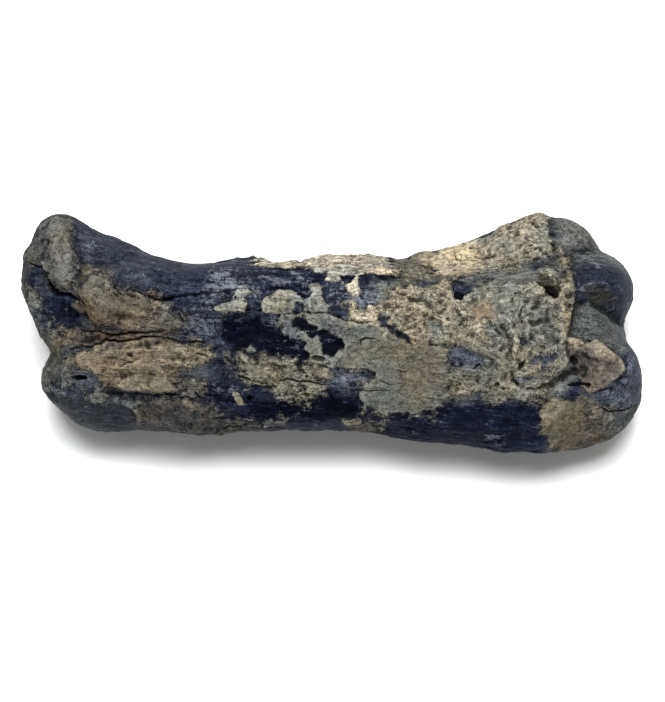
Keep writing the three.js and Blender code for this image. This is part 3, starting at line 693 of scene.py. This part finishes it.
class Net:
    """A mesh's points and edges as arrays, in mm."""

    def __init__(self, mesh):
        count = len(mesh.vertices)
        points = np.empty(count * 3)
        edges = np.empty(len(mesh.edges) * 2, np.int64)
        mesh.vertices.foreach_get("co", points)
        mesh.edges.foreach_get("vertices", edges)
        self.mesh = mesh
        self.points = points.reshape(-1, 3) / MM
        self.edges = edges.reshape(-1, 2)
        self.degree = np.maximum(np.bincount(edges, minlength=count), 1)

    def evened(self, values, rounds):
        """The values, drawn towards their neighbours' mean a number of times."""
        near, far = self.edges.T
        for _ in range(rounds):
            around = np.empty_like(values)
            for k in range(values.shape[1]):
                around[:, k] = np.bincount(near, values[far, k], len(values))
                around[:, k] += np.bincount(far, values[near, k], len(values))
            values = 0.5 * values + 0.5 * around / self.degree[:, None]
        return values

    def write(self):
        """Puts the points back in the mesh."""
        self.mesh.vertices.foreach_set("co", (self.points * MM).ravel())
        self.mesh.update()

    def normals(self):
        """Each point's outward direction."""
        self.write()
        found = np.empty(len(self.points) * 3)
        self.mesh.vertices.foreach_get("normal", found)
        return found.reshape(-1, 3)


def halve_edges(mesh, chosen):
    """Halves the edges whose two end points are both chosen."""
    work = bmesh.new()
    work.from_mesh(mesh)
    edges = [edge for edge in work.edges if chosen[edge.verts[0].index] and chosen[edge.verts[1].index]]
    bmesh.ops.subdivide_edges(work, edges=edges, cuts=1, use_grid_fill=True)
    bmesh.ops.triangulate(work, faces=[face for face in work.faces if len(face.verts) > 4])
    work.to_mesh(mesh)
    work.free()


def by_a_crack(spots):
    """Which photo pixels lie close to a crack or a pit."""
    near = np.zeros(len(spots), bool)
    for _, _, run in CRACKS:
        near |= from_run(spots, run)[0] < CRACK_REACH
    for _, centre, half_wide, half_high, turn in PITS:
        margin = CRACK_REACH / PIXEL
        near |= in_ellipse(spots, centre, half_wide + margin, half_high + margin, turn) < 1
    return near


def fine_mesh(node):
    """A smooth copy of a node's solid, finer on the side that the camera sees and finest at cracks."""
    copy = bpy.data.objects.new("fine_copy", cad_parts[node].data.copy())
    bpy.context.scene.collection.objects.link(copy)
    remesh = copy.modifiers.new("even", "REMESH")
    remesh.mode = "VOXEL"
    remesh.voxel_size = VOXEL * MM
    graph = bpy.context.evaluated_depsgraph_get()
    mesh = bpy.data.meshes.new_from_object(copy.evaluated_get(graph))
    bpy.data.objects.remove(copy)
    net = Net(mesh)
    net.points = net.evened(net.points, SMOOTHING)
    halve_edges(mesh, net.normals() @ OUT > -EDGE_ON)
    net = Net(mesh)
    net.points = net.evened(net.points, SEEN_SMOOTHING)
    halve_edges(mesh, (net.normals() @ OUT > EDGE_ON) & by_a_crack(on_photo(net.points)))
    return mesh


def mixed(at, values, patches):
    """Each point's row of values after every patch is laid over it in turn, with an uneven edge."""
    for row, softness, outline in patches:
        depth = within(at.frayed, outline) + at.ragged * PATCH_RAG * softness
        share = smooth_step(-softness, softness, depth)[:, None]
        values = values * (1 - share) + row * share
    return values


def between(noises, first, second):
    """Rows that go from the second to the first as a noise rises."""
    share = (0.5 + 0.5 * np.clip(2 * noises, -1, 1))[:, None]
    return share * first + (1 - share) * second


def by_side(at, on_seen, on_hidden):
    """The first rows on the side that the camera sees and the second on the hidden side."""
    return on_seen * at.seen[:, None] + on_hidden * at.hidden[:, None]


class Surface:
    """The bone's points, with the noises and photo pixels that its relief and finish share."""

    def __init__(self, net):
        points = net.points
        self.points = points
        self.normals = net.normals()
        self.broad = noise_at(points, size=2.6, seed=6.3)
        self.middle = noise_at(points, size=1.5, seed=7.7)
        self.small = noise_at(points, size=0.75, seed=1.3)
        self.tiny = noise_at(points, size=0.42, seed=9.2)
        self.strands = noise_at(points, size=0.5, seed=4.4, stretch=8.0)
        self.coarse_strands = noise_at(points, size=1.1, seed=2.4, stretch=6.0)
        wandering = points + np.outer(self.broad, [2.0, 1.4, -1.6])
        self.wandering = wandering + np.outer(self.middle, [1.0, -1.2, 0.8])
        self.wide = noise_at(self.wandering, size=4.0, seed=3.1, stretch=1.8)
        self.ragged = 0.55 * self.broad + 0.7 * self.middle + 0.5 * self.small + 0.3 * self.tiny

        toward_eye = EYE - points
        facing = np.sum(self.normals * toward_eye, axis=1) / np.linalg.norm(toward_eye, axis=1)
        facing = net.evened(facing[:, None], FACING_ROUNDS)[:, 0]
        self.seen = smooth_step(*SEEN_STEP, facing + 0.35 * self.broad + 0.2 * self.middle)
        self.hidden = 1 - self.seen
        self.ends = smooth_step(*END_STEP, np.abs(points[:, 0]))

        # Photo pixels as they are, and shaken by noise, more so where the surface turns away
        self.spots = on_photo(points)
        across = self.middle * 4.0 + self.small * 3.0
        down = self.broad * 2.0 + self.small * 3.0
        self.fraying = np.stack([across, down], axis=1)
        self.frayed = self.spots + self.fraying * (1 + 5 * smooth_step(0.1, -0.2, facing))[:, None]


def crust_sureness(at):
    """How sure the crust is at each point. The hidden side gets crust by noise."""
    on_seen = np.full(len(at.points), -FAR)
    for _, sure, softness, outline in CRUST:
        depth = np.minimum(within(at.frayed, outline), sure)
        on_seen = np.maximum(on_seen, (depth + at.ragged * (0.3 + 0.7 * softness)) / softness)
    for softness, outline in BARE:
        depth = within(at.frayed, outline)
        on_seen = np.minimum(on_seen, (at.ragged * (0.2 + 0.8 * softness) - depth) / softness)
    on_hidden = 2.2 * at.wide + 1.5 * at.broad + 0.8 * at.middle + 0.6 * at.small + at.ends - 0.3
    return np.clip(at.seen * on_seen + at.hidden * on_hidden, -MOST_SURE, MOST_SURE)


def crust_rows(at):
    """Each point's crust colour, grit and thickness. Kinds fade into each other unevenly."""
    plain = between(at.middle, kind_values("network"), kind_values("dull tan"))
    patches = [(kind_values(kind), softness + KIND_FADE, outline) for kind, _, softness, outline in CRUST]
    rows = by_side(at, mixed(at, plain, patches), plain)
    rows[:, :3] *= 1 + np.outer(at.broad, WARM_TINT)
    return rows


def bone_rows(at):
    """Each point's colour as bare bone."""
    plain = between(at.wide, linear(COLOURS["slate"]), linear(COLOURS["navy"]))
    patches = [(linear(COLOURS[name]), softness, outline) for name, softness, outline in BONE]
    return by_side(at, mixed(at, plain, patches), plain)


def finish_masks(at, grit):
    """The masks that the relief and the finish read."""
    crust = crust_sureness(at)
    polished = at.seen * smooth_step(-0.3, 0.6, within_any(at.frayed, SMOOTH))
    fibrous = at.seen * smooth_step(-0.8, 0.8, within_any(at.frayed, FIBROUS))
    scattered = 1.2 * at.middle + 0.8 * at.small - 0.3 - at.seen
    outlined = within_any(at.frayed, [outline for _, outline in PALE])
    pale_patches = [(strength, PALE_SOFTNESS, outline) for strength, outline in PALE]
    return {
        "crust": crust,
        "grit": grit,
        "pale": np.maximum(outlined * at.seen - FAR * at.hidden, scattered),
        "pale_share": mixed(at, np.full((len(at.points), 1), PALE_SHARE), pale_patches)[:, 0],
        "fibrous": fibrous + at.hidden * (1 - at.ends),
        "polished": polished * (1 - smooth_step(-1.0, 1.0, crust)),
    }


def swells(at):
    """The height of knobs, dents, ridges and furrows, in mm."""
    height = np.zeros(len(at.points))
    for rise, centre, half_wide, half_high, turn in RELIEF:
        rim = in_ellipse(at.spots + at.fraying * 0.3, centre, half_wide, half_high, turn)
        height += rise * (1 - smooth_step(0.3, 1.0, rim)) * at.seen
    for rise, half_width, run in FOLDS:
        gap, way = from_run(at.spots + at.fraying * 0.5, run)
        taper = smooth_step(0.0, 0.15, way * (1 - way))
        height += rise * (1 - smooth_step(0.0, half_width, gap)) * taper * at.seen
    return height


def pore_shares(at, covered, grit, spongy):
    """How deep in a pore each point is, from 0 to 1. Spongy bone has large pores and crust small ones."""
    warp = np.stack([at.middle + 0.7 * at.tiny, at.small, at.broad - 0.7 * at.tiny], axis=1)
    warped = at.points + warp * 0.3
    large = pores(warped, size=0.8, seed=5.5, share=0.35, stretch=1.3) * spongy
    small = pores(warped, size=0.6, seed=15.5, share=0.06, stretch=1.6) * covered * grit * at.seen
    return np.maximum(large, small)


def texture(at, masks, thickness):
    """The height of crust, fibres and pores in mm, and how deep in a pore each point is."""
    covered = smooth_step(-1.0, 1.0, masks["crust"])
    grit = masks["grit"]
    rough = 1 - 0.85 * masks["polished"]
    spongy = at.seen * smooth_step(-0.6, 0.6, within_any(at.frayed, SPONGY))
    spongy += at.hidden * smooth_step(0.1, 0.5, at.wide + 0.8 * at.ends - 0.35)

    height = 0.12 * at.wide + (0.16 * at.broad + 0.1 * at.middle) * rough
    rugged = 0.26 * (0.3 - np.abs(at.small)) + 0.1 * (0.3 - np.abs(at.tiny))
    rugged += 0.2 * at.middle + 0.08 * at.small
    height += covered * (thickness + grit * rugged)
    split = crevices(at.points, size=1.3, seed=12.5, width=0.14, stretch=1.6)
    height -= 0.14 * split * covered * grit * smooth_step(-0.1, 0.4, at.broad)
    height += masks["fibrous"] * (0.09 * at.strands + 0.08 * at.coarse_strands)
    height += (1 - covered) * rough * (0.08 * at.small + 0.06 * at.strands + 0.05 * at.tiny)
    pore = pore_shares(at, covered, grit, spongy)
    height -= 0.2 * pore
    height += spongy * (0.08 * at.small + 0.06 * at.tiny)
    return height, pore


def cuts(at):
    """How deep cracks and pits cut, in mm, and the painted shade in their hollows at each point, from 0
    to 1.
    """
    jagged = at.spots + np.stack([at.tiny * 0.6, at.tiny * 0.6 + at.small * 1.2], axis=1)
    total = np.zeros(len(at.points))
    hollow = np.zeros(len(at.points))
    for depth, width, run in CRACKS:
        gap, way = from_run(jagged, run)
        taper = np.sqrt(np.clip(4 * way * (1 - way), 0.0, 1.0)) * 0.7 + 0.3
        cut = (1 - smooth_step(width * 0.4, width * 1.5, gap / taper)) * at.seen
        total += depth * taper * cut
        hollow = np.maximum(hollow, cut)
    for depth, centre, half_wide, half_high, turn in PITS:
        out = in_ellipse(jagged, centre, half_wide, half_high, turn)
        cut = (1 - smooth_step(0.55, 1.2, out)) * at.seen
        total += depth * cut
        hollow = np.maximum(hollow, cut * min(1.0, depth / DARK_PIT))
    long_crack = crevices(at.wandering, size=5.0, seed=21.5, width=0.03, stretch=6.0)
    long_crack *= smooth_step(0.0, 0.2, at.broad) * at.hidden
    total += 0.35 * long_crack
    return total, np.maximum(hollow, 0.8 * long_crack)


def recesses(net, normals):
    """How far each point lies below its surroundings at several scales together, for painted shade and
    highlights.
    """
    recess = np.zeros(len(net.points))
    for rounds, gain in RECESS_SCALES:
        offset = net.evened(net.points, rounds) - net.points
        recess += gain * np.sum(offset * normals, axis=1)
    return recess


def toe_bone():
    """The whole bone, with its fine relief and its finish."""
    mesh = fine_mesh("toe_bone")
    net = Net(mesh)
    at = Surface(net)
    crust = crust_rows(at)
    masks = finish_masks(at, crust[:, 3])
    bumps, pore = texture(at, masks, crust[:, 4])
    depth, hollow = cuts(at)
    height = swells(at) + bumps - depth
    net.points = np.clip(at.points + at.normals * height[:, None], *(np.array(cad_box) / MM))
    net.write()
    # Painted shade in pores, cracks and pits, and the recess depth that sets painted shade and edge
    # highlights
    masks["hollow"] = np.maximum(PORE_SHADE * pore, hollow)
    masks["recess"] = recesses(net, at.normals)

    for name, values in masks.items():
        mesh.attributes.new(name, "FLOAT", "POINT").data.foreach_set("value", values.astype(np.float32))
    for name, rows in {"crust_colour": crust[:, :3], "bone_colour": bone_rows(at)}.items():
        rgba = np.concatenate([np.clip(rows, 0, 1), np.ones((len(rows), 1))], axis=1)
        layer = mesh.attributes.new(name, "FLOAT_COLOR", "POINT")
        layer.data.foreach_set("color", rgba.astype(np.float32).ravel())
    mesh.shade_smooth()
    mesh.materials.clear()
    mesh.materials.append(fossil_bone())
    bone = bpy.data.objects.new("weathered_toe_bone", mesh)
    bpy.context.scene.collection.objects.link(bone)
    return bone


class Shading:
    """A material's node tree, with short ways to add its nodes."""

    def __init__(self, name):
        self.material = bpy.data.materials.new(name)
        self.material.use_nodes = True
        self.tree = self.material.node_tree
        self.shader = self.tree.nodes["Principled BSDF"]

    def fill(self, socket, value):
        """Links a socket to a value that is a socket itself, or else sets it."""
        if isinstance(value, bpy.types.NodeSocket):
            self.tree.links.new(value, socket)
        else:
            socket.default_value = value

    def node(self, kind, inputs, **settings):
        made = self.tree.nodes.new(kind)
        for name, value in settings.items():
            setattr(made, name, value)
        for name, value in inputs.items():
            self.fill(made.inputs[name], value)
        return made

    def math(self, operation, *values):
        return self.node("ShaderNodeMath", dict(enumerate(values)), operation=operation).outputs[0]

    def total(self, *parts):
        """The sum of values, each with its weight."""
        result = 0.0
        for value, weight in parts:
            result = self.math("MULTIPLY_ADD", value, weight, result)
        return result

    def product(self, first, *others):
        for other in others:
            first = self.math("MULTIPLY", first, other)
        return first

    def step(self, value, low, high):
        """From 0 at low to 1 at high. High may be the lower number."""
        sockets = {"Value": value, "From Min": low, "From Max": high}
        return self.node("ShaderNodeMapRange", sockets, interpolation_type="SMOOTHSTEP").outputs["Result"]

    def mask(self, name):
        return self.node("ShaderNodeAttribute", {}, attribute_name=name).outputs["Fac"]

    def colour(self, name):
        return self.node("ShaderNodeAttribute", {}, attribute_name=name).outputs["Color"]

    def places(self, stretch):
        """Places on the object in mm, drawn out along the bone's grain."""
        sockets = {
            "Vector": self.node("ShaderNodeTexCoord", {}).outputs["Object"],
            "Rotation": (0.0, 0.0, GRAIN_TURN),
            "Scale": (stretch * MM, MM, MM),
        }
        made = self.node("ShaderNodeMapping", {}, vector_type="TEXTURE")
        for name, value in sockets.items():
            self.fill(made.inputs[name], value)
        return made.outputs["Vector"]

    def noise(self, place, size, detail=3.0):
        """Noise from about -0.5 to 0.5."""
        sockets = {"Vector": place, "Scale": 1 / size, "Detail": detail, "Roughness": 0.6}
        return self.math("SUBTRACT", self.node("ShaderNodeTexNoise", sockets).outputs["Fac"], 0.5)

    def lines(self, place, size, width):
        """1 along thin winding lines, where a noise crosses zero."""
        return self.step(self.math("ABSOLUTE", self.noise(place, size, 1.0)), width, width * 0.3)

    def mix(self, share, first, second):
        made = self.node("ShaderNodeMix", {}, data_type="RGBA")

        # Sockets by number, because the node has others of the same names for other kinds of data
        for place, value in ((0, share), (6, first), (7, second)):
            self.fill(made.inputs[place], value)
        return made.outputs[2]

    def scaled(self, colour, factor):
        """A colour made lighter or darker by a factor."""
        made = self.node("ShaderNodeVectorMath", {0: colour, "Scale": factor}, operation="SCALE")
        return made.outputs[0]


def fossil_bone():
    """Tan crust over blue-black bone, pale mineral, fibres, painted shade in recesses, painted edge
    highlights.
    """
    s = Shading("fossil_bone")
    place = s.places(1.0)
    drawn = s.places(7.0)
    patchy = s.noise(place, 1.6)
    fine = s.noise(place, 0.45)
    grain = s.noise(place, 0.16)
    streak = s.noise(drawn, 0.45)
    hair = s.noise(drawn, 0.15, 2.0)
    fibrous = s.mask("fibrous")
    polished = s.mask("polished")
    grit = s.total((s.mask("grit"), 0.75), (1.0, 0.25))
    streaky = s.product(s.total((streak, 1.0), (hair, 0.6)), fibrous)
    plainness = s.total((polished, -0.15), (1.0, 1.0))
    crust_depth = s.total((s.mask("crust"), 1.0), (fine, 3.2), (grain, 2.6), (streaky, 1.6))
    covered = s.step(crust_depth, -0.6, 0.6)
    rim = s.product(covered, s.step(crust_depth, 3.0, 0.8))

    # Dark lines that wind through the crust
    winding = s.math("ABSOLUTE", s.noise(s.places(1.8), 0.8, 4.0))
    gap = s.product(s.step(winding, 0.05, 0.005), s.step(patchy, -0.08, 0.1))

    # Crust: lighter and darker grains
    speck_place = s.step(s.total((fine, -1.0), (patchy, -1.0)), -0.1, 0.15)
    speck = s.product(s.step(grain, -0.1, -0.22), speck_place)
    # Bright winding lines: painted highlights on the crust's crests
    crest_highlight = s.lines(place, 0.9, 0.07)
    crust_tone = s.total(
        (fine, 2.5), (grain, 3.8), (gap, -0.7), (speck, -0.6), (crest_highlight, 0.6), (patchy, 1.3))
    crust_tone = s.total((s.product(crust_tone, grit), 1.0), (streaky, 2.4), (rim, 0.16), (1.0, 1.0))
    crust_look = s.scaled(s.colour("crust_colour"), s.math("MAXIMUM", crust_tone, 0.15))

    # Bare bone: streaks, and pale flecks along the fibres
    bone_tone = s.total((streak, 2.4), (fine, 3.2), (grain, 4.4), (hair, 2.0), (patchy, 1.8))
    bone_tone = s.math("MAXIMUM", s.total((s.product(bone_tone, plainness), 1.0), (1.0, 1.0)), 0.25)
    bone_look = s.scaled(s.colour("bone_colour"), bone_tone)
    fleck = s.step(s.total((hair, 1.0), (grain, 0.6), (fine, 0.4)), 0.20, 0.36)
    fleck = s.product(fleck, s.total((fibrous, 0.15), (1.0, 0.10)))
    pale_white = (*linear(COLOURS["blue white"]), 1.0)
    bone_look = s.mix(fleck, bone_look, pale_white)
    scratch = s.product(s.lines(s.places(5.0), 1.6, 0.012), s.step(patchy, -0.04, 0.08))
    scratch = s.product(scratch, s.total((polished, 0.22), (1.0, 0.08)))
    bone_look = s.mix(scratch, bone_look, pale_white)
    pale_depth = s.total((s.mask("pale"), 0.7), (patchy, 2.4), (fine, 3.4), (grain, 3.2), (streak, 3.0))
    pale_part = s.product(s.step(pale_depth, 0.1, 1.6), s.mask("pale_share"))
    bone_look = s.mix(pale_part, bone_look, pale_white)

    look = s.mix(covered, bone_look, crust_look)
    # Painted shade in recesses, cracks, pits and pores, and painted highlights on raised edges
    shade = s.product(s.step(s.mask("recess"), 0.03, 0.5), 0.72)
    shade = s.math("MAXIMUM", shade, s.product(s.mask("hollow"), 0.93))
    edge = s.product(s.step(s.mask("recess"), -0.05, -0.45), 0.5)
    look = s.scaled(look, s.total((shade, -1.0), (edge, 1.0), (1.0, 1.0)))
    s.fill(s.shader.inputs["Base Color"], look)

    roughness = s.total((covered, 0.3), (fine, 0.3), (polished, -0.1), (1.0, 0.55))
    s.fill(s.shader.inputs["Roughness"], roughness)
    s.fill(s.shader.inputs["Specular IOR Level"], GLOSS)
    crust_relief = s.product(s.total((fine, 0.5), (grain, 0.3), (gap, -0.3)), grit)
    crust_relief = s.product(s.total((crust_relief, 1.0), (1.0, 0.15)), covered)
    ribbed = s.product(
        s.total((streak, 0.7), (hair, 0.5)), s.total((fibrous, 0.5), (1.0, 0.12)), plainness)
    relief = s.total((crust_relief, 1.15), (ribbed, 1.15), (s.product(fine, plainness), 0.15))
    bump = s.node("ShaderNodeBump", {"Height": relief, "Distance": BUMP * MM, "Strength": 1.0})
    s.fill(s.shader.inputs["Normal"], bump.outputs["Normal"])
    return s.material


def floor():
    """A plain pale floor."""
    corners = [(x * FLOOR_HALF, y * FLOOR_HALF, 0) for x, y in ((-1, -1), (1, -1), (1, 1), (-1, 1))]
    mesh = bpy.data.meshes.new("floor")
    mesh.from_pydata(corners, [], [(0, 1, 2, 3)])
    s = Shading("pale_floor")
    s.fill(s.shader.inputs["Base Color"], FLOOR_WHITE)
    s.fill(s.shader.inputs["Roughness"], 0.9)
    s.fill(s.shader.inputs["Specular IOR Level"], 0.0)
    mesh.materials.append(s.material)
    made = bpy.data.objects.new("floor", mesh)
    bpy.context.scene.collection.objects.link(made)


def studio():
    """Soft light: the sky all round, and a square panel overhead that looks at the bone."""
    world = bpy.data.worlds.new("studio")
    world.use_nodes = True
    sky = world.node_tree.nodes["Background"].inputs
    sky["Color"].default_value = (1.0, 1.0, 1.0, 1.0)
    sky["Strength"].default_value = SKY_STRENGTH
    bpy.context.scene.world = world
    light = bpy.data.lights.new("overhead_panel", "AREA")
    light.size = PANEL_SIZE
    light.energy = PANEL_POWER
    made = bpy.data.objects.new("overhead_panel", light)
    made.location = PANEL_PLACE
    made.rotation_euler = (-Vector(PANEL_PLACE)).to_track_quat("-Z", "Y").to_euler()
    bpy.context.scene.collection.objects.link(made)
    bpy.context.scene.view_settings.view_transform = "Standard"


def camera():
    """The camera at the photograph's place, square to the broad face."""
    data = bpy.data.cameras.new("camera")
    data.lens = LENS
    data.sensor_width = SENSOR
    data.clip_start = NEAREST_SEEN
    data.clip_end = FARTHEST_SEEN
    made = bpy.data.objects.new("camera", data)
    made.location = EYE * MM
    made.rotation_euler = (FACE_LEAN, 0.0, 0.0)
    bpy.context.scene.collection.objects.link(made)
    bpy.context.scene.camera = made


camera()
studio()
floor()
bone = toe_bone()
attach(bone, "root")
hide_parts("toe_bone")
